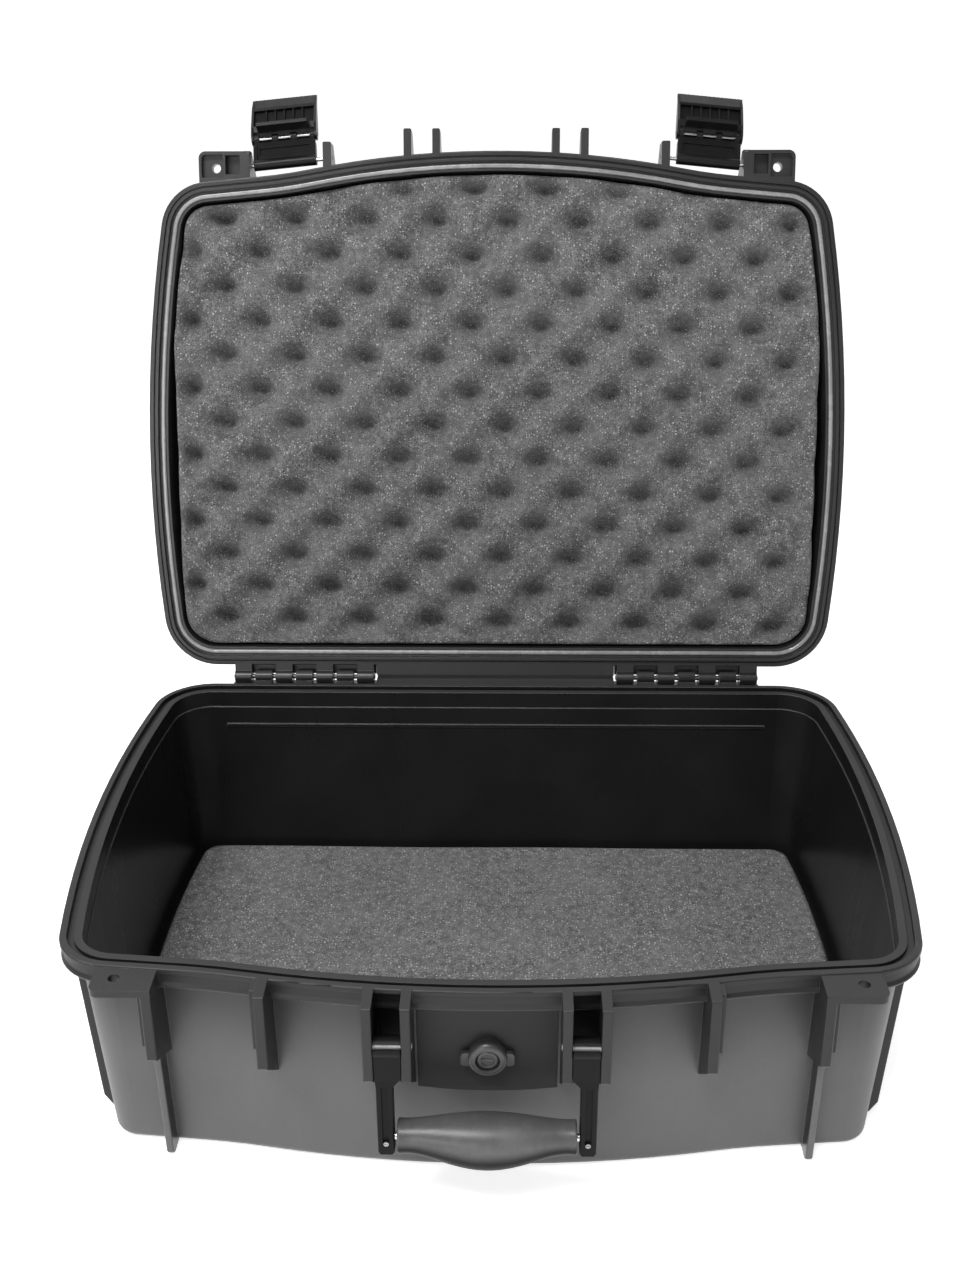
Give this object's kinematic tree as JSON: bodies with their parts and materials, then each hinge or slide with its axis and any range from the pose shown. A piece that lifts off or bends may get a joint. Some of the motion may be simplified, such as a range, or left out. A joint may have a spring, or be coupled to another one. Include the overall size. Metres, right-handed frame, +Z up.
{
  "type": "hard equipment case",
  "caption": "Open hard-shell equipment case with hinged lid, two over-centre latches, swinging bail handle, pressure valve, padlock tabs and foam pads.",
  "frame": {"origin": "centre of the base's underside, midway between the rim's sides and between its rear edge and front bulge", "axes": "+X to the right seen from the front (latch side), +Y towards the hinges, +Z up"},
  "size_m": [0.52, 0.5646, 0.5544],
  "materials": {
    "shell_plastic": "fine-grained satin, dark grey",
    "latch_plastic": "satin, near black",
    "handle_plastic": "satin, near black",
    "grip_rubber": "smooth matt, dark grey",
    "foam": "open-cell foam, mid grey",
    "seal_rubber": "smooth matt, grey",
    "washer_rubber": "smooth matt, black",
    "steel": "stainless, drawn finish"
  },
  "bodies": {
    "base": {"base_shell": "shell_plastic", "base_foam": "foam", "hinge_pin_left": "steel", "hinge_pin_right": "steel", "handle_pin_left": "steel", "handle_pin_right": "steel", "valve_body": "latch_plastic", "valve_seal": "washer_rubber", "valve_nut": "latch_plastic"},
    "lid": {"lid_shell": "shell_plastic", "lid_seal": "seal_rubber", "lid_foam": "foam", "latch_lid_pin_left": "steel", "latch_lid_pin_right": "steel"},
    "handle": {"handle_arm_left": "handle_plastic", "handle_arm_right": "handle_plastic", "handle_grip": "grip_rubber", "handle_rod": "steel", "handle_screws": "steel"},
    "valve_screw": {"valve_knob": "latch_plastic"},
    "latch_link_left_body": {"latch_link_left": "latch_plastic", "latch_lever_pin_left": "steel"},
    "latch_lever_left_body": {"latch_lever_left": "latch_plastic"},
    "latch_link_right_body": {"latch_link_right": "latch_plastic", "latch_lever_pin_right": "steel"},
    "latch_lever_right_body": {"latch_lever_right": "latch_plastic"}
  },
  "joints": [
    {"name": "lid_hinge", "type": "hinge", "parent": "base", "child": "lid", "pos_m": [0, 0.1992, 0.1415], "axis": [1, 0, 0], "range_deg": [0, 103.5]},
    {"name": "handle_swing", "type": "hinge", "parent": "base", "child": "handle", "pos_m": [0, -0.2, 0.112], "axis": [-1, 0, 0], "range_deg": [0, 95]},
    {"name": "valve_turn", "type": "hinge", "parent": "base", "child": "valve_screw", "pos_m": [0, -0.1732, 0.0844], "axis": [0, -1, 0], "range_deg": [0, 270]},
    {"name": "latch_left_link", "type": "hinge", "parent": "lid", "child": "latch_link_left_body", "pos_m": [-0.15412, 0.29717, 0.51101], "axis": [0.9954, 0.0224, 0.0932], "range_deg": [0, 120]},
    {"name": "latch_left_lever", "type": "hinge", "parent": "latch_link_left_body", "child": "latch_lever_left_body", "pos_m": [-0.15598, 0.31263, 0.52725], "axis": [0.9954, 0.0224, 0.0932], "range_deg": [-55, 0]},
    {"name": "latch_right_link", "type": "hinge", "parent": "lid", "child": "latch_link_right_body", "pos_m": [0.15412, 0.29717, 0.51101], "axis": [0.9954, -0.0224, -0.0932], "range_deg": [0, 120]},
    {"name": "latch_right_lever", "type": "hinge", "parent": "latch_link_right_body", "child": "latch_lever_right_body", "pos_m": [0.15598, 0.31263, 0.52725], "axis": [0.9954, -0.0224, -0.0932], "range_deg": [-55, 0]}
  ]
}
